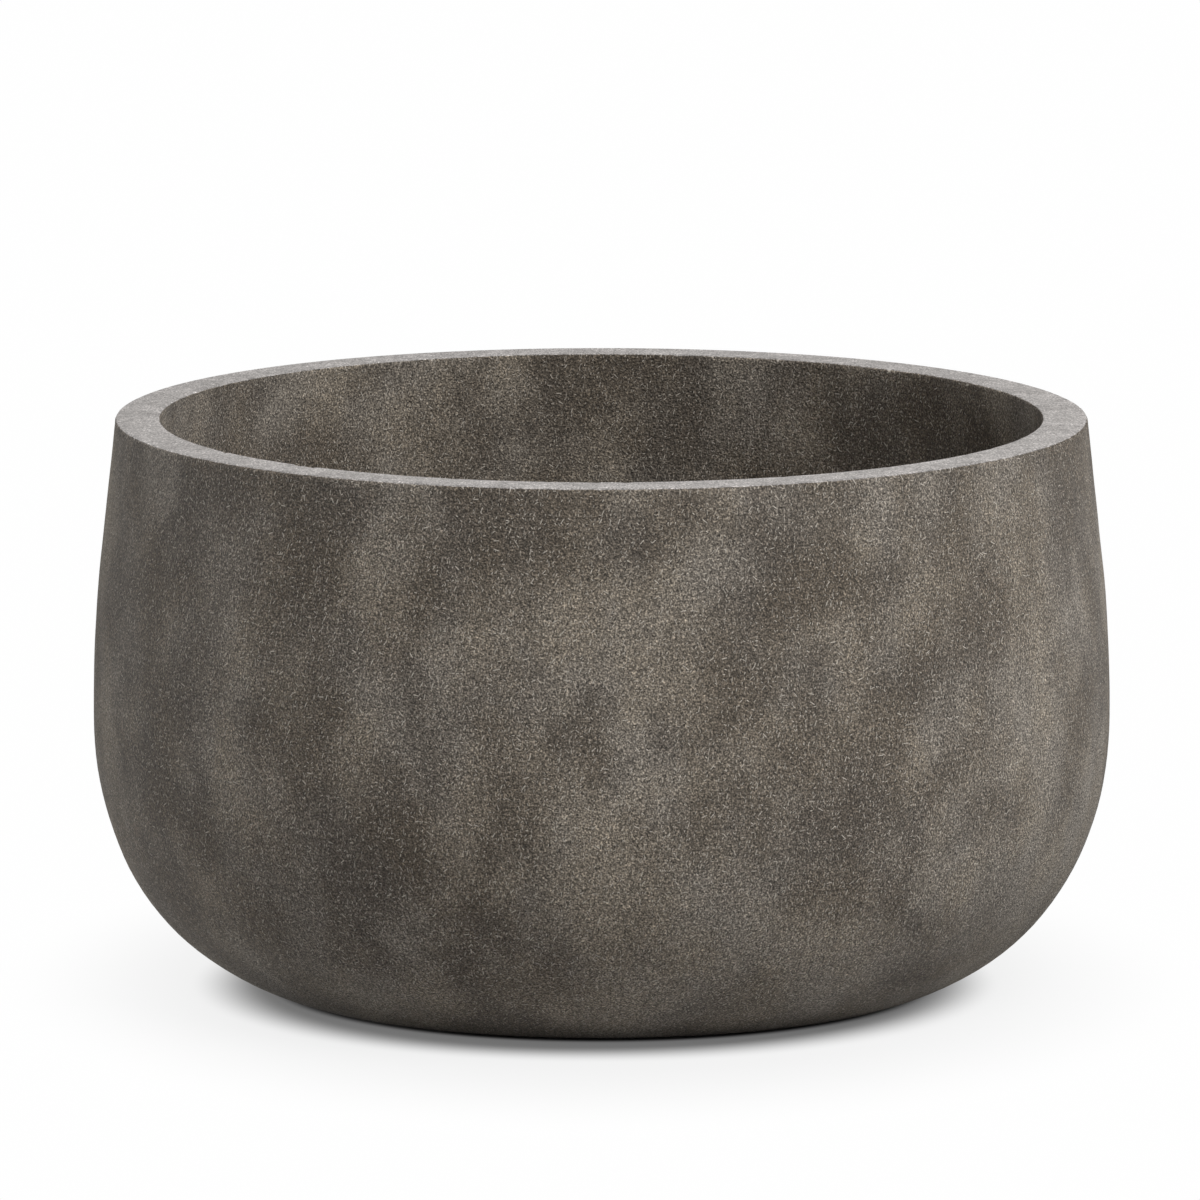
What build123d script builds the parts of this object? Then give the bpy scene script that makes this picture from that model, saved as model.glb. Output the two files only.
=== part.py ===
from build123d import *
import math
import os

# Round tabletop planter cast in fibre cement, with a rubber drain plug and four foot pads.
# Millimetres. The origin is on the table, under the bowl's axis, and +Z is up.

# Overall sizes of the bowl
planter_height = 180.0     # table to rim
widest_radius = 160.0      # at the belly
widest_height = 85.2       # table to the belly's widest line
rim_draw_in = 7.5          # how far the rim stands in from the belly
base_radius = 105.7        # outer edge of the foot ring
wall = 14.0                # thickness of the cast wall

# Outline of the wall
straight_wall = 44.8       # straight run below the rim
belly_turn = 24.0          # degrees turned by the gentle arc below the widest line
foot_lift = 18.5           # degrees between the wall and the table at the foot ring

# Rim, floor and underside
rim_outer_arris = 0.8      # bevel ground on the rim's outer edge
rim_inner_arris = 0.6      # bevel ground on the rim's inner edge
floor_thickness = 13.0     # floor above the recess
recess_depth = 3.0         # hollow under the floor, inside the foot ring
recess_draft = 2.0         # how far the recess narrows towards its ceiling, so that it leaves the mould

# Drain hole
drain_radius = 10.0
drain_chamfer = 1.0

# Drain plug
head_radius = 17.0
head_thickness = 3.6
head_edge = 1.4            # radius round the head's upper edge
plug_clearance = 0.3       # from the sealing ribs to the hole, all round
rib_height = 0.7           # how far a sealing rib stands out of the stem's root
rib_crest = 0.8            # length of a rib's flat crest
rib_lead = 1.2             # length of the slope below the crest
rib_count = 3
rib_pitch = 3.4
first_rib_depth = 2.2      # from the head's underside to the first rib's upper face
stem_taper = 1.3           # loss of radius from the stem's root to its tip
stem_overshoot = 1.5       # how far the tip passes the floor's underside
stem_tip_bevel = 0.8
stem_bore_radius = 4.0
stem_bore_depth = 10.0
tab_width = 20.0
tab_height = 11.0          # above the head
tab_thickness = 4.4
tab_corner = 6.0           # radius of the tab's upper corners
tab_edge = 1.2             # radius round the tab's two faces
tab_root = 1.5             # radius where the tab meets the head

# Foot pads
pad_count = 4
pad_radius = 8.0
pad_thickness = 1.5
pad_bevel = 0.4
pad_outer_margin = 10.5    # foot ring left bare outside a pad
pad_inner_margin = 4.5     # foot ring left bare inside a pad
first_pad_angle = 45.0

# Places that follow from the sizes
rim_radius = widest_radius - rim_draw_in
foot_height = pad_thickness
recess_ceiling = foot_height + recess_depth
floor_top = recess_ceiling + floor_thickness
pad_circle_radius = base_radius - pad_outer_margin - pad_radius
recess_radius = pad_circle_radius - pad_radius - pad_inner_margin
stem_length = floor_thickness + stem_overshoot
rib_radius = drain_radius - plug_clearance
stem_root_radius = rib_radius - rib_height

# The upper wall leans in by this angle, and one arc brings it upright at the widest line
rise_to_rim = planter_height - widest_height
lean = 2 * math.atan(rim_draw_in / (rise_to_rim + straight_wall))
shoulder_radius = (rise_to_rim - straight_wall * math.cos(lean)) / math.sin(lean)
rim_inner_radius = rim_radius - wall / math.cos(lean)

# Angles from the upright at the widest line to the ends of the belly and heel arcs
belly_end = math.radians(belly_turn)
heel_end = math.radians(90 - foot_lift)


def belly_and_heel_radii():
    """Radii of the two tangent arcs that join the widest line to the foot ring's edge."""
    inward = widest_radius - base_radius
    downward = widest_height - foot_height
    belly_in = 1 - math.cos(belly_end)
    belly_down = math.sin(belly_end)
    heel_in = math.cos(belly_end) - math.cos(heel_end)
    heel_down = math.sin(heel_end) - math.sin(belly_end)
    divisor = belly_in * heel_down - heel_in * belly_down
    belly = (inward * heel_down - heel_in * downward) / divisor
    heel = (belly_in * downward - belly_down * inward) / divisor
    return belly, heel


belly_radius, heel_radius = belly_and_heel_radii()

# The inner face follows the outer one down the belly, then one arc runs smoothly into the floor
inner_belly_drop = (belly_radius - wall) * math.sin(belly_end)
inner_heel_radius = (widest_height - floor_top - inner_belly_drop) / (1 - math.sin(belly_end))


def wall_face(rim_point, inset, heel, heel_turn):
    """Outline of one face of the wall, from the rim down: a straight run and three tangent arcs."""
    down = Vector(math.sin(lean), -math.cos(lean))
    outward = Vector(math.cos(lean), math.sin(lean))
    straight_end = Vector(rim_radius, planter_height) + down * straight_wall - outward * inset
    straight = Line(rim_point, straight_end)
    shoulder = JernArc(straight_end, down, shoulder_radius - inset, -math.degrees(lean))
    belly = JernArc(shoulder @ 1, shoulder % 1, belly_radius - inset, -belly_turn)
    return [straight, shoulder, belly, JernArc(belly @ 1, belly % 1, heel, -heel_turn)]


def bowl_section():
    """Half section of the bowl as a face of radius and height, with the drain hole left open."""
    outer_rim = Vector(rim_radius, planter_height)
    inner_rim = Vector(rim_inner_radius, planter_height)
    outer = wall_face(outer_rim, 0, heel_radius, 90 - foot_lift - belly_turn)
    inner = wall_face(inner_rim, wall, inner_heel_radius, 90 - belly_turn)
    rim = Line(inner_rim, outer_rim)
    floor_and_underside = Polyline(
        inner[-1] @ 1,
        (drain_radius, floor_top),
        (drain_radius, recess_ceiling),
        (recess_radius - recess_draft, recess_ceiling),
        (recess_radius, foot_height),
        outer[-1] @ 1,
    )
    return make_face(outer + inner + [rim, floor_and_underside])


def turned(section):
    """Solid of revolution about the planter's axis from a half section."""
    return revolve(Plane.XZ * section, Axis.Z)


def circles_at(solid, radius, height):
    """Circular edges of a solid at a radius and a height."""
    circles = solid.edges().filter_by(GeomType.CIRCLE)
    level = circles.filter_by(lambda edge: math.isclose(edge.center().Z, height, abs_tol=1e-4))
    return level.filter_by(lambda edge: math.isclose(edge.radius, radius, abs_tol=1e-4))


def make_bowl_shell():
    """Bowl turned from its half section, with its rim and drain edges bevelled."""
    shell = turned(bowl_section())
    shell = chamfer(circles_at(shell, rim_radius, planter_height), rim_outer_arris)
    shell = chamfer(circles_at(shell, rim_inner_radius, planter_height), rim_inner_arris)
    shell = chamfer(circles_at(shell, drain_radius, floor_top), drain_chamfer)
    return chamfer(circles_at(shell, drain_radius, recess_ceiling), drain_chamfer)


def stem_radius(depth):
    """Radius of the tapered stem at a depth below the plug's head."""
    return stem_root_radius - stem_taper * depth / stem_length


def rib_points(index):
    """Corners of one sealing rib, from its root below to its flat upper face."""
    top = first_rib_depth + index * rib_pitch
    crest_end = top + rib_crest
    lead_end = crest_end + rib_lead
    return [
        (stem_radius(lead_end), -lead_end),
        (rib_radius, -crest_end),
        (rib_radius, -top),
        (stem_radius(top), -top),
    ]


def plug_section():
    """Half section of the plug: flat head, tapered stem with sealing ribs, and a bore from below."""
    bore_top = stem_bore_depth - stem_length
    ribs = [rib_points(index) for index in reversed(range(rib_count))]
    outline = Polyline(
        (0, bore_top),
        (stem_bore_radius, bore_top),
        (stem_bore_radius, -stem_length),
        (stem_radius(stem_length), -stem_length),
        *[point for rib in ribs for point in rib],
        (stem_root_radius, 0),
        (head_radius, 0),
        (head_radius, head_thickness),
        (0, head_thickness),
        close=True,
    )
    return make_face(outline)


def make_tab():
    """Upright finger tab with round upper corners and eased faces, sunk half into the head."""
    top = head_thickness + tab_height
    bottom = head_thickness / 2
    outline = Pos(0, (top + bottom) / 2) * Rectangle(tab_width, top - bottom)
    outline = fillet(outline.vertices().group_by(Axis.Y)[-1], tab_corner)
    tab = extrude(Plane.XZ * outline, tab_thickness / 2, both=True)
    faces = tab.faces().filter_by(Axis.Y)
    return fillet(faces.edges(), tab_edge)


def make_drain_plug():
    """Rubber plug, seated in the drain hole with its head on the bowl's floor."""
    head = turned(plug_section())
    head = fillet(circles_at(head, head_radius, head_thickness), head_edge)
    head = chamfer(circles_at(head, stem_radius(stem_length), -stem_length), stem_tip_bevel)
    tab = make_tab()
    plug = head + tab
    plug = fillet(new_edges(head, tab, combined=plug), tab_root)
    return Pos(0, 0, floor_top) * plug


def make_foot_pad(angle):
    """Round rubber pad under the foot ring, with its lower edge bevelled."""
    pad = Cylinder(pad_radius, pad_thickness, align=(Align.CENTER, Align.CENTER, Align.MIN))
    pad = chamfer(circles_at(pad, pad_radius, 0), pad_bevel)
    return Rot(0, 0, angle) * Pos(pad_circle_radius, 0, 0) * pad


def main():
    """Makes each piece and writes it to its own file."""
    pieces = {"bowl_shell": make_bowl_shell(), "drain_plug": make_drain_plug()}
    for index in range(pad_count):
        angle = first_pad_angle + index * 360 / pad_count
        pieces[f"foot_pad_{index + 1}"] = make_foot_pad(angle)
    os.makedirs("parts", exist_ok=True)
    for name, piece in pieces.items():
        export_step(piece, f"parts/{name}.step")


main()
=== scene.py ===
import math
import bpy
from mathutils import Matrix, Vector


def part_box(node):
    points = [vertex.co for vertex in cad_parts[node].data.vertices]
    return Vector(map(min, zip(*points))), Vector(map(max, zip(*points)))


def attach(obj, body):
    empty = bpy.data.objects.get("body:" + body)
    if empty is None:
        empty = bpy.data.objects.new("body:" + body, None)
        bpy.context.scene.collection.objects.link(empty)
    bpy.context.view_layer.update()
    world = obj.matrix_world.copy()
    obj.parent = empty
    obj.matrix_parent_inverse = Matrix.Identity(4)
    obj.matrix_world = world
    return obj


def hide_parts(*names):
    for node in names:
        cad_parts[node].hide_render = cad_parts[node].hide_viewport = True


# Tabletop planter cast in fibre cement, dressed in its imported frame. Metres, +Z up,
# with the origin on the table under the bowl's axis.

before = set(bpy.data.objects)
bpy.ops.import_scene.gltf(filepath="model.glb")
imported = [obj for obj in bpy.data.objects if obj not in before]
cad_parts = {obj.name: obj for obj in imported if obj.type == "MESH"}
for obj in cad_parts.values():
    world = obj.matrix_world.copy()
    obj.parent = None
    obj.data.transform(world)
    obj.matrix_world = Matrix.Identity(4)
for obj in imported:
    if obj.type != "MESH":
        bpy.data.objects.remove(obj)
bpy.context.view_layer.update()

# Sizes of the casting, the same as the part's
shell_low, shell_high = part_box("bowl_shell")
rim_height = shell_high.z
foot_height = shell_low.z
widest_radius = shell_high.x
widest_height = 0.0852
rim_draw_in = 0.0075
rim_radius = widest_radius - rim_draw_in
base_radius = 0.1057
wall = 0.014
straight_wall = 0.0448
belly_turn = math.radians(24)
foot_lift = math.radians(18.5)
floor_thickness = 0.013
recess_depth = 0.003
recess_radius = 0.0747
recess_draft = 0.002
drain_radius = 0.010
drain_bevel = 0.001
recess_ceiling = foot_height + recess_depth
floor_top = recess_ceiling + floor_thickness

# Worn edges of the casting
rim_outer_ease = 0.0009     # radius of the rim's worn outer edge
rim_inner_ease = 0.0007     # radius of the rim's worn inner edge
ease_middle = 0.3           # how far a worn edge's middle stands in, as a share of its radius
ring_ease_across = 0.0006   # bevel on the foot ring's inner edge, across
ring_ease_up = 0.0004       # and upwards

# Mesh of the casting
steps_around = 640
wall_row = 0.0040           # spacing of rows down the wall
edge_row = 0.0007           # spacing of rows beside the rim
rim_row = 0.0015            # spacing of rows across the rim
flat_row = 0.009            # spacing of rows over the floor and underside
edge_zone = 0.005           # length of wall beside the rim that has close rows
calm_zone = 0.012           # height over which the unevenness dies out above the foot ring and the floor
merge_distance = 1e-6

# Unevenness that the hand-made mould leaves in the wall, and nicks in the rim's edges
wave_length = 0.06
wave_height = 0.0012
dimple_length = 0.014
dimple_height = 0.00035
nick_length = 0.006
nick_depth = 0.0006
nick_range = (0.58, 0.72)   # noise at which a nick starts and is at its deepest
mould_seed = 4.0
worn_edge_relief = 0.3      # share of the unevenness at the rim's worn edges
beside_edge_relief = 0.6    # and on the wall beside them
beside_edge_wear = 0.6      # share of the nicks on the wall beside the worn edges

# Sizes of the marks in fibre cement
cloud_size = 0.052
patch_size = 0.021
tint_size = 0.024
sand_size = 0.0026
grain_size = 0.00062
speckle_size = 0.00054
smear_size = 0.012
pit_size = 0.0036
cloud_stretch = (1.0, 1.0, 0.7)             # clouds are taller than they are wide
short_fibre = (0.0014, 0.00055, 0.00019)    # spacing, half length and half width
long_fibre = (0.0030, 0.0011, 0.0002)
fibre_gap = (0.0017, 0.00065, 0.00022)
fibre_lean = (0.75, 0.5, 0.75)              # leans more of the fibres to one side

# Shifts that keep the patterns clear of each other
patch_shift = (0.4, 0.1, 0.7)
tint_shift = (0.9, 0.6, 0.2)
speckle_shift = (0.2, 0.5, 0.3)
pit_shift = (0.5, 0.2, 0.9)
fibre_shift = (1.0, 0.7, 1.3)
long_fibre_shift = 0.31
fibre_gap_shift = 0.53

# Where each pattern runs from none to full
cloud_range = (0.38, 0.62)
tint_range = (0.35, 0.65)
smear_range = (0.3, 0.7)
ground_range = (0.4, 0.6)
pit_range = (0.06, 0.12)
fibre_range = (0.5, 1.0)
tooth_range = (0.2, 0.8)

# How strongly each mark tells
cloud_share = 0.62
fibre_rarity = 3.0          # the higher, the fewer fibres stand out
wall_contrast = {"sand": 1.1, "grain": 3.2, "speckle": 3.6}
rim_contrast = {"grain": 3.0, "speckle": 2.2, "sand": 1.6}
wall_fibre_share = 0.9
# strength of the painted shade in the wall's pits
wall_pit_shade_share = 0.7
rim_fibre_share = 0.5
# strength of the painted shade in the rim's pits and gaps
rim_pit_shade_share = 0.6
ragged_share = 0.5          # how raggedly the ground rim meets the wall
sand_relief = 0.3
fibre_relief = 0.5
pit_relief = 0.5
ground_relief = 0.12        # what grinding leaves of the rim's relief
cement_roughness = (0.82, 0.97)
rubber_roughness = (0.5, 0.72)

# Colours of the cement's wall, its ground rim and the rubber
dark_cement = (0.121, 0.101, 0.080, 1)
light_cement = (0.250, 0.218, 0.179, 1)
warm_tint = (1.015, 1.0, 0.97, 1)
cool_tint = (0.985, 1.0, 1.03, 1)
# painted shade in the wall's recessed fibre gaps
painted_gap_shade = (0.045, 0.037, 0.029, 1)
fibre_colour = (0.72, 0.66, 0.58, 1)
# painted shade in the wall's pits
painted_pit_shade = (0.03, 0.025, 0.02, 1)
light_rim = (0.436, 0.412, 0.397, 1)
dark_rim = (0.328, 0.309, 0.296, 1)
# painted shade in the ground rim's pits and gaps
painted_rim_pit_shade = (0.20, 0.187, 0.175, 1)
rim_fibre_colour = (0.66, 0.64, 0.62, 1)
plug_colour = (0.016, 0.016, 0.017, 1)
pad_colour = (0.020, 0.019, 0.018, 1)
dust_colour = (0.22, 0.20, 0.175, 1)
plug_dust = 0.25
pad_dust = 0.15

# Sizes of the marks in moulded rubber
flow_size = 0.006
tooth_size = 0.0006
bloom_size = 0.002
bloom_range = (0.5, 0.75)
flow_lightening = 1.7

# Floor: dark under the foot ring, shaded as far as the shade's radius and white beyond the open one; the
# white is painted light that lifts the floor's real shadow by distance from the bowl
floor_half = 12.0
floor_colour = (0.42, 0.42, 0.42, 1)
floor_white = (0.995, 0.995, 0.995, 1)
under_radius = 0.955 * base_radius
edge_radius = 1.01 * base_radius
shade_centre = (-0.002, -0.003, 0)
shade_radius = 0.685 * widest_radius
clear_radius = 0.85 * widest_radius
open_radius = 1.55 * widest_radius
shade_narrowing = (1.06, 1.0, 1.0)  # the shade is narrower across than it is deep
open_narrowing = (1.3, 1.0, 1.0)
edge_white = 0.145          # share of white added outside the foot ring's edge
near_white = 0.70           # added from the shade's radius to the clear one
far_white = 0.155           # added from the clear radius to the open one

# Studio: soft boxes as place, width, height and watts
light_target = (0, 0, 0.1)
key_light = ((1.03, -1.24, 2.08), 1.4, 1.4, 56)
left_fill = ((-2.1, 0.9, 0.2), 1.2, 0.3, 18)
surround_fill = 0.27

# Camera: a long lens from just above the rim
lens = 442.0
sensor_width = 36.0
clip_end = 100.0
camera_place = (-0.0028 * rim_radius, -30 * rim_radius, rim_height + 4.403 * rim_radius)
camera_pitch = 9.065        # degrees below level


class Outline:
    """Half section of the casting, walked as radius and height, with a finish at every point."""

    def __init__(self):
        self.points = []
        self.relief = []
        self.ground = []
        self.wear = []

    def add(self, point, relief=0.0, ground=0.0, wear=0.0):
        self.points.append(point)
        self.relief.append(relief)
        self.ground.append(ground)
        self.wear.append(wear)

    def line_to(self, end, spacing, **finish):
        start = self.points[-1]
        count = max(1, round((end - start).length / spacing))
        for step in range(1, count + 1):
            self.add(start.lerp(end, step / count), **finish)

    def arc(self, heading, radius, turn, spacing, **finish):
        """Arc from the last point; a negative turn bends to the right. Returns the new heading."""
        side = math.copysign(math.pi / 2, turn)
        centre = self.points[-1] + radius * direction(heading + side)
        count = max(1, round(radius * abs(turn) / spacing))
        for step in range(1, count + 1):
            angle = heading + turn * step / count - side
            self.add(centre + radius * direction(angle), **finish)
        return heading + turn

    def calm_above(self, height):
        """Lets the unevenness die out down to a height."""
        shares = [(point.y - height) / calm_zone for point in self.points]
        self.relief = [min(relief, share) for relief, share in zip(self.relief, shares)]

    def follow_back(self, other):
        """Follows another outline backwards, from the point before its last."""
        for name in ("points", "relief", "ground", "wear"):
            getattr(self, name).extend(reversed(getattr(other, name)[:-1]))


def direction(angle):
    return Vector((math.cos(angle), math.sin(angle)))


def wall_angles():
    """Lean of the upper wall and radius of the arc that brings it upright at the widest line."""
    rise = rim_height - widest_height
    lean = 2 * math.atan(rim_draw_in / (rise + straight_wall))
    shoulder = (rise - straight_wall * math.cos(lean)) / math.sin(lean)
    return lean, shoulder


def lower_radii():
    """Radii of the belly and heel arcs that join the widest line to the foot ring."""
    heel_end = math.pi / 2 - foot_lift
    inward = widest_radius - base_radius
    downward = widest_height - foot_height
    belly_in = 1 - math.cos(belly_turn)
    belly_down = math.sin(belly_turn)
    heel_in = math.cos(belly_turn) - math.cos(heel_end)
    heel_down = math.sin(heel_end) - math.sin(belly_turn)
    divisor = belly_in * heel_down - heel_in * belly_down
    belly = (inward * heel_down - heel_in * downward) / divisor
    heel = (belly_in * downward - belly_down * inward) / divisor
    return belly, heel


def walk_wall(outline, inset, ease, last_radius, last_turn):
    """One face of the wall, from the eased rim edge down to where its last arc ends."""
    lean, shoulder = wall_angles()
    belly, _ = lower_radii()
    heading = lean - math.pi / 2
    outward = direction(lean)
    rim = Vector((rim_radius, rim_height)) - outward * inset
    bottom = rim + straight_wall * direction(heading)
    top = rim + (ease - inset * math.tan(lean)) * direction(heading)
    close_end = top + edge_zone * direction(heading)
    outline.add(top, relief=worn_edge_relief, wear=1.0)
    outline.line_to(close_end, edge_row, relief=beside_edge_relief, wear=beside_edge_wear)
    outline.line_to(bottom, wall_row, relief=1.0)
    heading = outline.arc(heading, shoulder - inset, -lean, wall_row, relief=1.0)
    heading = outline.arc(heading, belly - inset, -belly_turn, wall_row, relief=1.0)
    outline.arc(heading, last_radius, -last_turn, wall_row, relief=1.0)


def walk_underside(outline):
    """Recess under the floor and drain hole, up to the bevel on the floor's top."""
    for corner in (
        (recess_radius + ring_ease_across, foot_height),
        (recess_radius, foot_height + ring_ease_up),
        (recess_radius - recess_draft, recess_ceiling),
        (drain_radius + drain_bevel, recess_ceiling),
        (drain_radius, recess_ceiling + drain_bevel),
        (drain_radius, floor_top - drain_bevel),
        (drain_radius + drain_bevel, floor_top),
    ):
        outline.line_to(Vector(corner), flat_row)


def walk_rim(outline):
    """Ground rim, from its worn inner edge to its worn outer edge."""
    lean, _ = wall_angles()
    inner_rim = rim_radius - wall / math.cos(lean)
    inner_in = ease_middle * rim_inner_ease
    outer_in = ease_middle * rim_outer_ease
    outline.add(Vector((inner_rim + inner_in, rim_height - inner_in)), wear=1.0, ground=0.5)
    outline.add(Vector((inner_rim + rim_inner_ease, rim_height)), wear=1.0, ground=1.0)
    outline.line_to(Vector((rim_radius - rim_outer_ease, rim_height)), rim_row, ground=1.0)
    outline.add(Vector((rim_radius - outer_in, rim_height - outer_in)), wear=1.0, ground=0.5)


def bowl_outline():
    """Closed half section, from the rim's outer edge down the outside and back up the inside."""
    belly, heel = lower_radii()
    inner_belly_drop = (belly - wall) * math.sin(belly_turn)
    inner_heel = (widest_height - floor_top - inner_belly_drop) / (1 - math.sin(belly_turn))
    outline = Outline()
    walk_wall(outline, 0, rim_outer_ease, heel, math.pi / 2 - foot_lift - belly_turn)
    outline.calm_above(foot_height)
    walk_underside(outline)
    inside = Outline()
    walk_wall(inside, wall, rim_inner_ease, inner_heel, math.pi / 2 - belly_turn)
    inside.calm_above(floor_top)
    outline.line_to(inside.points[-1], flat_row)
    outline.follow_back(inside)
    walk_rim(outline)
    return outline


def feed(tree, socket, value):
    """Links an output to a socket, or sets the socket's own value."""
    if isinstance(value, bpy.types.NodeSocket):
        tree.links.new(value, socket)
    else:
        socket.default_value = value


def add(tree, kind, *values, settings=None, **named):
    """Adds a node and feeds its inputs, by position or by name with _ for a space."""
    made = tree.nodes.new(kind)
    for name, value in (settings or {}).items():
        setattr(made, name, value)
    for position, value in enumerate(values):
        feed(tree, made.inputs[position], value)
    for name, value in named.items():
        feed(tree, made.inputs[name.replace("_", " ")], value)
    return made


def maths(tree, operation, *values):
    return add(tree, "ShaderNodeMath", *values, settings={"operation": operation}).outputs[0]


def vectors(tree, operation, *values):
    made = add(tree, "ShaderNodeVectorMath", *values, settings={"operation": operation})
    return made.outputs["Value" if operation in ("DOT_PRODUCT", "LENGTH") else "Vector"]


def between(tree, value, low, high, to_low=0.0, to_high=1.0):
    """Smooth step of a value from one range to another."""
    settings = {"interpolation_type": "SMOOTHSTEP"}
    return add(tree, "ShaderNodeMapRange", value, low, high, to_low, to_high, settings=settings).outputs[0]


def blend(tree, factor, first, second):
    """Mix of two colours."""
    made = tree.nodes.new("ShaderNodeMix")
    made.data_type = "RGBA"
    feed(tree, made.inputs[0], factor)
    feed(tree, made.inputs[6], first)
    feed(tree, made.inputs[7], second)
    return made.outputs[2]


def noise(tree, place, size, detail=2.0, roughness=0.5, **named):
    """Noise whose largest features are about size metres across."""
    named.update(Scale=1 / size, Detail=detail, Roughness=roughness)
    return add(tree, "ShaderNodeTexNoise", Vector=place, **named).outputs["Fac"]


def stored(tree, name):
    """A finish that the points of a mesh carry."""
    settings = {"data_type": "FLOAT"}
    return add(tree, "GeometryNodeInputNamedAttribute", name, settings=settings).outputs["Attribute"]


def tree_inputs(tree):
    """Names the turning tree's inputs and its output."""
    face = tree.interface
    face.new_socket("Section", in_out="INPUT", socket_type="NodeSocketGeometry")
    face.new_socket("Steps Around", in_out="INPUT", socket_type="NodeSocketInt")
    for name in (
        "Wave Length",
        "Wave Height",
        "Dimple Length",
        "Dimple Height",
        "Nick Length",
        "Nick Depth",
        "Seed",
    ):
        face.new_socket(name, in_out="INPUT", socket_type="NodeSocketFloat")
    face.new_socket("Finish", in_out="INPUT", socket_type="NodeSocketMaterial")
    face.new_socket("Casting", in_out="OUTPUT", socket_type="NodeSocketGeometry")
    return tree.nodes.new("NodeGroupInput").outputs


def turned_shape(tree, section, steps):
    """Wraps a grid round the axis, one row for each point of the section, and closes it."""
    rows = add(tree, "GeometryNodeAttributeDomainSize", section).outputs["Point Count"]
    columns = maths(tree, "ADD", steps, 1.0)
    grid = add(tree, "GeometryNodeMeshGrid", 1.0, 1.0, maths(tree, "ADD", rows, 1.0), columns)
    index = tree.nodes.new("GeometryNodeInputIndex").outputs[0]
    row = maths(tree, "FLOOR", maths(tree, "DIVIDE", maths(tree, "ADD", index, 0.5), columns))
    column = maths(tree, "SUBTRACT", index, maths(tree, "MULTIPLY", row, columns))
    row = maths(tree, "FLOORED_MODULO", row, rows)
    angle = maths(tree, "MULTIPLY", maths(tree, "DIVIDE", column, steps), math.tau)

    def sampled(kind, field):
        node = add(tree, "GeometryNodeSampleIndex", settings={"data_type": kind}, Geometry=section, Index=row)
        feed(tree, node.inputs["Value"], field)
        return node.outputs["Value"]

    on_section = sampled("FLOAT_VECTOR", tree.nodes.new("GeometryNodeInputPosition").outputs[0])
    round_axis = {"rotation_type": "Z_AXIS"}
    turn = add(tree, "ShaderNodeVectorRotate", settings=round_axis, Vector=on_section, Angle=angle)
    shape = grid.outputs["Mesh"]
    on_points = {"data_type": "FLOAT", "domain": "POINT"}
    for name in ("relief", "ground", "wear"):
        store = add(tree, "GeometryNodeStoreNamedAttribute", settings=on_points, Geometry=shape, Name=name)
        feed(tree, store.inputs["Value"], sampled("FLOAT", stored(tree, name)))
        shape = store.outputs["Geometry"]
    shape = add(tree, "GeometryNodeSetPosition", Geometry=shape, Position=turn.outputs["Vector"]).outputs[0]
    return add(tree, "GeometryNodeMergeByDistance", Geometry=shape, Distance=merge_distance).outputs[0]


def uneven_shape(tree, shape, given):
    """Gives the walls the unevenness of a hand-made mould, and nicks the rim's edges."""
    place = tree.nodes.new("GeometryNodeInputPosition").outputs[0]
    normal = tree.nodes.new("GeometryNodeInputNormal").outputs[0]

    def swell(length, height, detail):
        size = maths(tree, "DIVIDE", 1.0, length)
        seeded = {"noise_dimensions": "4D"}
        wave = add(tree, "ShaderNodeTexNoise", settings=seeded, Vector=place, Scale=size, Detail=detail)
        feed(tree, wave.inputs["W"], given["Seed"])
        return maths(tree, "MULTIPLY", maths(tree, "SUBTRACT", wave.outputs["Fac"], 0.5), height)

    wave = swell(given["Wave Length"], given["Wave Height"], 1.0)
    dimple = swell(given["Dimple Length"], given["Dimple Height"], 2.0)
    uneven = maths(tree, "MULTIPLY", maths(tree, "ADD", wave, dimple), stored(tree, "relief"))
    nick_scale = maths(tree, "DIVIDE", 1.0, given["Nick Length"])
    nick = add(tree, "ShaderNodeTexNoise", Vector=place, Scale=nick_scale, Detail=3.0).outputs["Fac"]
    nick = maths(tree, "MULTIPLY", between(tree, nick, *nick_range), stored(tree, "wear"))
    moved = maths(tree, "SUBTRACT", uneven, maths(tree, "MULTIPLY", nick, given["Nick Depth"]))
    offset = scaled(tree, normal, moved)
    return add(tree, "GeometryNodeSetPosition", Geometry=shape, Offset=offset).outputs["Geometry"]


def turning_tree():
    """Turns a half section into the casting, with its unevenness and its material."""
    tree = bpy.data.node_groups.new("turned_casting", "GeometryNodeTree")
    given = tree_inputs(tree)
    shape = turned_shape(tree, given["Section"], given["Steps Around"])
    shape = uneven_shape(tree, shape, given)
    shape = add(tree, "GeometryNodeSetShadeSmooth", Geometry=shape).outputs["Geometry"]
    shape = add(tree, "GeometryNodeRealizeInstances", shape).outputs["Geometry"]
    shape = add(tree, "GeometryNodeSetMaterial", Geometry=shape, Material=given["Finish"]).outputs[0]
    feed(tree, tree.nodes.new("NodeGroupOutput").inputs[0], shape)
    return tree


def section_object(outline):
    """The half section as a chain of points that carry their finish."""
    mesh = bpy.data.meshes.new("bowl_section")
    mesh.from_pydata([(point.x, 0, point.y) for point in outline.points], [], [])
    for name in ("relief", "ground", "wear"):
        mesh.attributes.new(name, "FLOAT", "POINT").data.foreach_set("value", getattr(outline, name))
    made = bpy.data.objects.new("bowl_section", mesh)
    bpy.context.scene.collection.objects.link(made)
    return made


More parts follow.
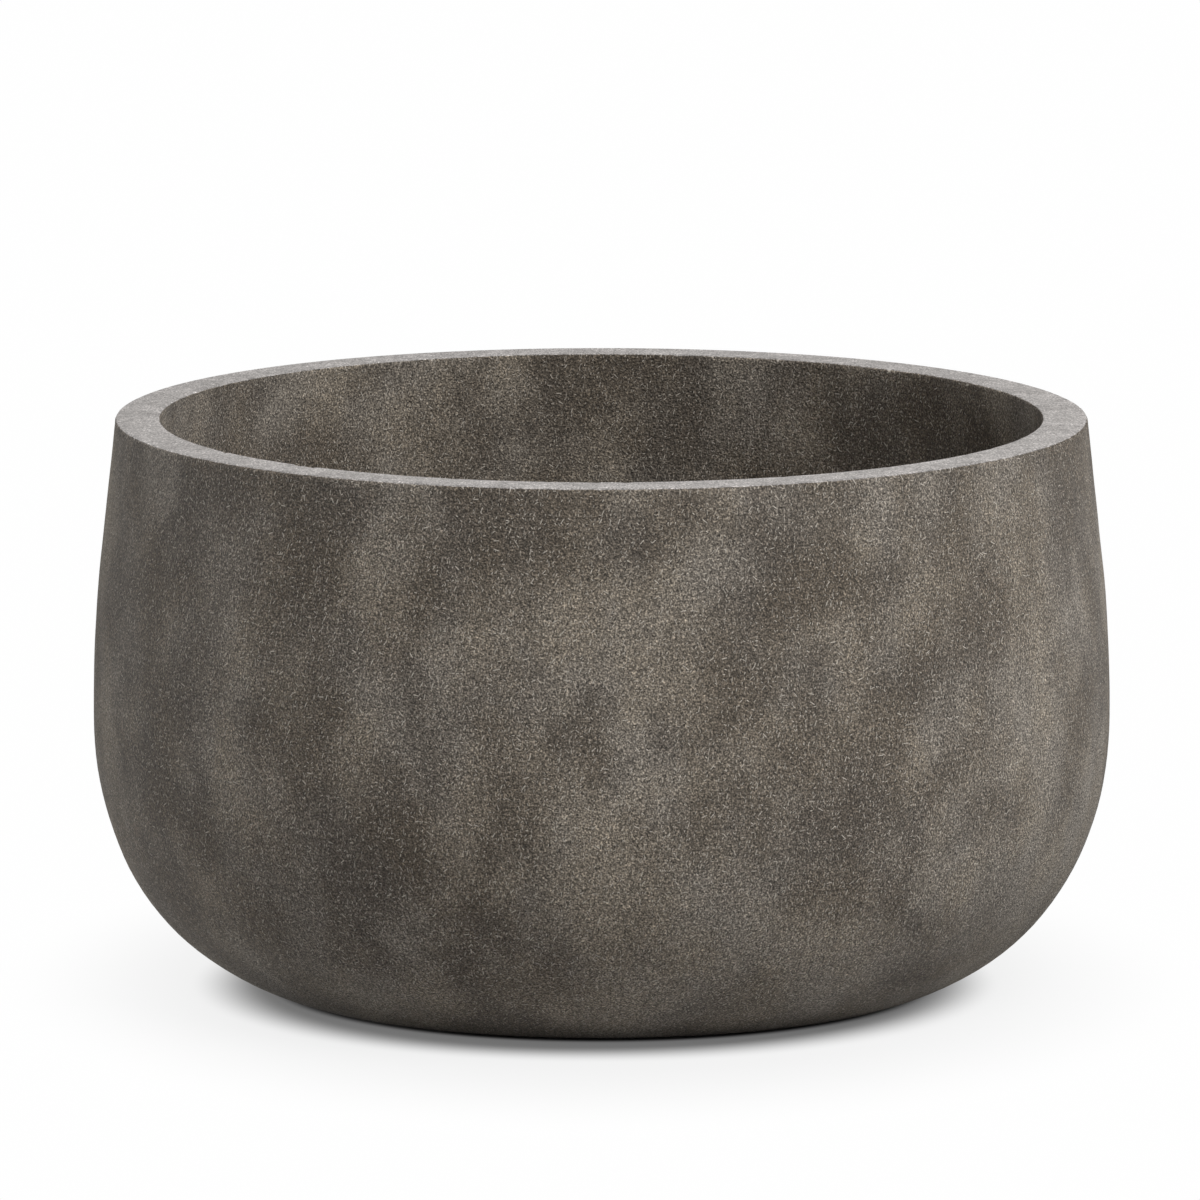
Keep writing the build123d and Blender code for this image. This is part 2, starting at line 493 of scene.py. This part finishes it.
def run_tree(obj, tree, values, name):
    """Runs a tree on an object with the named inputs set, and returns the result as a plain piece."""
    modifier = obj.modifiers.new(tree.name, "NODES")
    modifier.node_group = tree
    for item in tree.interface.items_tree:
        if item.in_out == "INPUT" and item.name in values:
            modifier[item.identifier] = values[item.name]
    seen = obj.evaluated_get(bpy.context.evaluated_depsgraph_get())
    mesh = bpy.data.meshes.new_from_object(seen)
    bpy.data.objects.remove(obj)
    mesh.name = name
    piece = bpy.data.objects.new(name, mesh)
    bpy.context.scene.collection.objects.link(piece)
    return piece


def empty_material(name):
    """A material and its node tree, with no nodes yet."""
    material = bpy.data.materials.new(name)
    material.use_nodes = True
    material.node_tree.nodes.clear()
    return material, material.node_tree


def solid_material(name):
    """A material with one surface shader, and the place on the piece for its patterns."""
    material, tree = empty_material(name)
    surface = tree.nodes.new("ShaderNodeBsdfPrincipled")
    output = tree.nodes.new("ShaderNodeOutputMaterial")
    tree.links.new(surface.outputs[0], output.inputs["Surface"])
    place = tree.nodes.new("ShaderNodeTexCoord").outputs["Object"]
    return material, tree, surface, place


def stroke_group():
    """Short strokes that lie in the surface, as chopped fibres do, each of its own strength."""
    tree = bpy.data.node_groups.new("chopped_fibres", "ShaderNodeTree")
    tree.interface.new_socket("Place", in_out="INPUT", socket_type="NodeSocketVector")
    for name in ("Cell", "Length", "Width"):
        tree.interface.new_socket(name, in_out="INPUT", socket_type="NodeSocketFloat")
    tree.interface.new_socket("Stroke", in_out="OUTPUT", socket_type="NodeSocketFloat")
    given = tree.nodes.new("NodeGroupInput").outputs
    normal = tree.nodes.new("ShaderNodeNewGeometry").outputs["Normal"]
    cell_scale = maths(tree, "DIVIDE", 1.0, given["Cell"])
    cells = add(tree, "ShaderNodeTexVoronoi", Vector=given["Place"], Scale=cell_scale)
    away = vectors(tree, "SUBTRACT", given["Place"], cells.outputs["Position"])
    heading = vectors(tree, "SUBTRACT", cells.outputs["Color"], fibre_lean)
    along_axis = vectors(tree, "NORMALIZE", vectors(tree, "CROSS_PRODUCT", normal, heading))
    across_axis = vectors(tree, "CROSS_PRODUCT", normal, along_axis)
    along = maths(tree, "ABSOLUTE", vectors(tree, "DOT_PRODUCT", away, along_axis))
    across = maths(tree, "ABSOLUTE", vectors(tree, "DOT_PRODUCT", away, across_axis))
    along_share = maths(tree, "DIVIDE", along, given["Length"])
    across_share = maths(tree, "DIVIDE", across, given["Width"])
    reach = maths(tree, "MAXIMUM", along_share, across_share)
    drawn = between(tree, reach, *fibre_range, 1.0, 0.0)
    strength = add(tree, "ShaderNodeSeparateColor", cells.outputs["Color"]).outputs["Blue"]
    stroke = maths(tree, "MULTIPLY", drawn, maths(tree, "POWER", strength, fibre_rarity))
    feed(tree, tree.nodes.new("NodeGroupOutput").inputs[0], stroke)
    return tree


def swing(tree, value, contrast):
    """Factor that is 1 at a value of a half, and contrast times more or less at the far ends."""
    return maths(tree, "POWER", contrast ** 2, maths(tree, "SUBTRACT", value, 0.5))


def scaled(tree, vector, factor):
    made = add(tree, "ShaderNodeVectorMath", vector, settings={"operation": "SCALE"}, Scale=factor)
    return made.outputs["Vector"]


def share_of(tree, value, share):
    return maths(tree, "MULTIPLY", value, share)


def cement_marks(tree, place):
    """Marks that the cement's wall and its ground rim share, each from 0 to 1."""
    strokes = stroke_group()

    def strokes_of(sizes, shift):
        group = tree.nodes.new("ShaderNodeGroup")
        group.node_tree = strokes
        moved = vectors(tree, "ADD", place, tuple(shift * part for part in fibre_shift))
        for name, value in zip(("Place", "Cell", "Length", "Width"), (moved, *sizes)):
            feed(tree, group.inputs[name], value)
        return group.outputs[0]

    short = strokes_of(short_fibre, 0.0)
    long = strokes_of(long_fibre, long_fibre_shift)
    pit_place = vectors(tree, "ADD", place, pit_shift)
    pits = add(tree, "ShaderNodeTexVoronoi", Vector=pit_place, Scale=1 / pit_size).outputs["Distance"]
    return {
        "sand": noise(tree, place, sand_size, 2.0, 0.6),
        "grain": noise(tree, place, grain_size, 1.0, 0.5),
        "speckle": noise(tree, vectors(tree, "ADD", place, speckle_shift), speckle_size, 0.0, 0.5),
        "fibres": maths(tree, "MAXIMUM", short, long),
        "gaps": strokes_of(fibre_gap, fibre_gap_shift),
        "pits": between(tree, pits, *pit_range, 1.0, 0.0),
    }


def grained(tree, tone, marks, contrast):
    """A tone with the light and dark of its grain worked in."""
    for name, strength in contrast.items():
        tone = scaled(tree, tone, swing(tree, marks[name], strength))
    return tone


def wall_tone(tree, place, marks):
    """Clouded cement with grain and chopped fibres, with painted shade darkening the recessed gaps the fibres
    leave and the pits.
    """
    upright = vectors(tree, "MULTIPLY", place, cloud_stretch)
    cloud = noise(tree, upright, cloud_size, 2.0, 0.5, Distortion=0.5)
    patch = noise(tree, vectors(tree, "ADD", upright, patch_shift), patch_size, 2.0, 0.55)
    tint = noise(tree, vectors(tree, "ADD", upright, tint_shift), tint_size, 2.0, 0.6)
    clouded = maths(tree, "ADD", share_of(tree, cloud, cloud_share), share_of(tree, patch, 1 - cloud_share))
    tone = blend(tree, between(tree, clouded, *cloud_range), dark_cement, light_cement)
    tinting = blend(tree, between(tree, tint, *tint_range), warm_tint, cool_tint)
    tone = grained(tree, vectors(tree, "MULTIPLY", tone, tinting), marks, wall_contrast)
    # Painted shade: the recessed fibre gaps are darkened
    tone = blend(tree, marks["gaps"], tone, painted_gap_shade)
    tone = blend(tree, share_of(tree, marks["fibres"], wall_fibre_share), tone, fibre_colour)
    # Painted shade: the pits are darkened
    return blend(tree, share_of(tree, marks["pits"], wall_pit_shade_share), tone, painted_pit_shade)


def rim_tone(tree, place, marks):
    """Paler cement that grinding has laid bare, smeared, with cut fibres, and painted shade darkening its
    pits and gaps.
    """
    smear = noise(tree, place, smear_size, 3.0, 0.6)
    tone = blend(tree, between(tree, smear, *smear_range), light_rim, dark_rim)
    tone = grained(tree, tone, marks, rim_contrast)
    # Painted shade: the rim's pits and gaps are darkened
    pitted = maths(tree, "MAXIMUM", marks["pits"], marks["gaps"])
    tone = blend(tree, share_of(tree, pitted, rim_pit_shade_share), tone, painted_rim_pit_shade)
    return blend(tree, share_of(tree, marks["fibres"], rim_fibre_share), tone, rim_fibre_colour)


def ground_share(tree, marks):
    """Where the rim is ground, with a ragged border."""
    ground = add(tree, "ShaderNodeAttribute", settings={"attribute_name": "ground"}).outputs["Fac"]
    ragged = share_of(tree, maths(tree, "SUBTRACT", marks["sand"], 0.5), ragged_share)
    return between(tree, maths(tree, "ADD", ground, ragged), *ground_range)


def cement_relief(tree, marks, ground):
    """Height of the grain, fibres and pits, nearly gone where the rim is ground."""
    height = maths(tree, "ADD", marks["grain"], share_of(tree, marks["sand"], sand_relief))
    height = maths(tree, "ADD", height, share_of(tree, marks["fibres"], fibre_relief))
    pitted = maths(tree, "MAXIMUM", marks["pits"], marks["gaps"])
    height = maths(tree, "SUBTRACT", height, share_of(tree, pitted, pit_relief))
    return maths(tree, "MULTIPLY", height, between(tree, ground, 0.0, 1.0, 1.0, ground_relief))


def fibre_cement():
    """Weathered fibre cement: clouded tone, sandy grain, chopped fibres, pits and gaps darkened with painted
    shade, and a paler ground rim.
    """
    material, tree, surface, place = solid_material("fibre_cement")
    marks = cement_marks(tree, place)
    ground = ground_share(tree, marks)
    tone = blend(tree, ground, wall_tone(tree, place, marks), rim_tone(tree, place, marks))
    feed(tree, surface.inputs["Base Color"], tone)
    height = cement_relief(tree, marks, ground)
    bump = add(tree, "ShaderNodeBump", Strength=1.0, Distance=0.0005, Height=height)
    feed(tree, surface.inputs["Normal"], bump.outputs[0])
    roughness = between(tree, marks["grain"], *tooth_range, *cement_roughness)
    feed(tree, surface.inputs["Roughness"], roughness)
    surface.inputs["Specular IOR Level"].default_value = 0.35
    surface.inputs["Diffuse Roughness"].default_value = 0.6
    surface.inputs["Sheen Weight"].default_value = 0.08
    return material


def moulded_rubber(name, shade, dust):
    """Matt moulded rubber with fine flow marks, a bloom of dust and a slight tooth."""
    material, tree, surface, place = solid_material(name)
    flow = noise(tree, place, flow_size, 3.0, 0.6, Distortion=0.8)
    tooth = noise(tree, place, tooth_size, 2.0, 0.6)
    bloom = noise(tree, place, bloom_size, 4.0, 0.7)
    lighter = tuple(flow_lightening * part for part in shade[:3]) + (1,)
    tone = blend(tree, between(tree, flow, *smear_range), shade, lighter)
    tone = blend(tree, between(tree, bloom, *bloom_range, 0.0, dust), tone, dust_colour)
    feed(tree, surface.inputs["Base Color"], tone)
    feed(tree, surface.inputs["Roughness"], between(tree, flow, *tooth_range, *rubber_roughness))
    bump = add(tree, "ShaderNodeBump", Strength=0.35, Distance=0.0001, Height=tooth)
    feed(tree, surface.inputs["Normal"], bump.outputs[0])
    return material


def make_bowl():
    """The casting, turned from its outline and given its finish."""
    values = {
        "Steps Around": steps_around,
        "Wave Length": wave_length,
        "Wave Height": wave_height,
        "Dimple Length": dimple_length,
        "Dimple Height": dimple_height,
        "Nick Length": nick_length,
        "Nick Depth": nick_depth,
        "Seed": mould_seed,
        "Finish": fibre_cement(),
    }
    bowl = run_tree(section_object(bowl_outline()), turning_tree(), values, "cast_bowl")
    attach(bowl, "bowl")
    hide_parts("bowl_shell")


def dress_rubber():
    """The plug and the pads keep their shapes and get moulded rubber."""
    plug_rubber = moulded_rubber("plug_rubber", plug_colour, plug_dust)
    pad_rubber = moulded_rubber("pad_rubber", pad_colour, pad_dust)
    for name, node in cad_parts.items():
        if name != "bowl_shell":
            node.data.materials.clear()
            node.data.materials.append(plug_rubber if name == "drain_plug" else pad_rubber)


def white_share(tree):
    """Share of white in what the camera and reflections see of the floor: painted light that grows with
    distance from the bowl and lifts the floor's real shadow.
    """
    place = tree.nodes.new("ShaderNodeTexCoord").outputs["Object"]
    # Painted light: no white under the foot ring, then white added ring by ring over the floor's real shadow
    edge = between(tree, vectors(tree, "LENGTH", place), under_radius, edge_radius, 0.0, edge_white)
    away = vectors(tree, "MULTIPLY", vectors(tree, "SUBTRACT", place, shade_centre), shade_narrowing)
    near = between(tree, vectors(tree, "LENGTH", away), shade_radius, clear_radius, 0.0, near_white)
    aside = vectors(tree, "LENGTH", vectors(tree, "MULTIPLY", place, open_narrowing))
    far = between(tree, aside, clear_radius, open_radius, 0.0, far_white)
    path = tree.nodes.new("ShaderNodeLightPath").outputs
    seen = maths(tree, "MAXIMUM", path["Is Camera Ray"], path["Is Glossy Ray"])
    return maths(tree, "MULTIPLY", maths(tree, "ADD", edge, maths(tree, "ADD", near, far)), seen)


def floor_material():
    """Pale matt floor that keeps the shade under the bowl and fades to the white surround, through painted
    white that lifts its shadow away from the bowl.
    """
    material, tree = empty_material("pale_floor")
    matt = add(tree, "ShaderNodeBsdfDiffuse", Color=floor_colour)
    white = add(tree, "ShaderNodeEmission", Color=floor_white, Strength=1.0)
    mix = add(tree, "ShaderNodeMixShader", white_share(tree), matt.outputs[0], white.outputs[0])
    output = tree.nodes.new("ShaderNodeOutputMaterial")
    tree.links.new(mix.outputs[0], output.inputs["Surface"])
    return material


def make_floor():
    """One wide square of pale floor."""
    mesh = bpy.data.meshes.new("floor")
    corners = [(-1, -1), (1, -1), (1, 1), (-1, 1)]
    mesh.from_pydata([(x * floor_half, y * floor_half, 0) for x, y in corners], [], [(0, 1, 2, 3)])
    floor = bpy.data.objects.new("floor", mesh)
    bpy.context.scene.collection.objects.link(floor)
    floor.data.materials.append(floor_material())


def make_surround():
    """White studio surround: full white to the camera, softer as a light."""
    world = bpy.data.worlds.new("white_surround")
    bpy.context.scene.world = world
    world.use_nodes = True
    tree = world.node_tree
    tree.nodes.clear()
    path = tree.nodes.new("ShaderNodeLightPath").outputs
    fill = add(tree, "ShaderNodeBackground", Color=(1, 1, 1, 1), Strength=surround_fill)
    white = add(tree, "ShaderNodeBackground", Color=(1, 1, 1, 1), Strength=1.0)
    mix = add(tree, "ShaderNodeMixShader", path["Is Camera Ray"], fill.outputs[0], white.outputs[0])
    tree.links.new(mix.outputs[0], tree.nodes.new("ShaderNodeOutputWorld").inputs["Surface"])


def soft_box(name, place, width, height, power):
    """Studio soft box, aimed at the middle of the planter."""
    lamp = bpy.data.lights.new(name, "AREA")
    lamp.shape = "RECTANGLE"
    lamp.size = width
    lamp.size_y = height
    lamp.energy = power
    made = bpy.data.objects.new(name, lamp)
    made.location = place
    made.rotation_euler = (Vector(light_target) - Vector(place)).to_track_quat("-Z", "Y").to_euler()
    bpy.context.scene.collection.objects.link(made)


def make_camera():
    """Long lens from just above the rim, as the photograph was taken."""
    data = bpy.data.cameras.new("camera")
    data.lens = lens
    data.sensor_width = sensor_width
    data.clip_end = clip_end
    camera = bpy.data.objects.new("camera", data)
    camera.location = camera_place
    camera.rotation_euler = (math.radians(90 - camera_pitch), 0, 0)
    bpy.context.scene.collection.objects.link(camera)
    bpy.context.scene.camera = camera


make_camera()
make_surround()
make_floor()
soft_box("key_light", *key_light)
soft_box("left_fill", *left_fill)
make_bowl()
dress_rubber()
bpy.context.scene.view_settings.view_transform = "Standard"
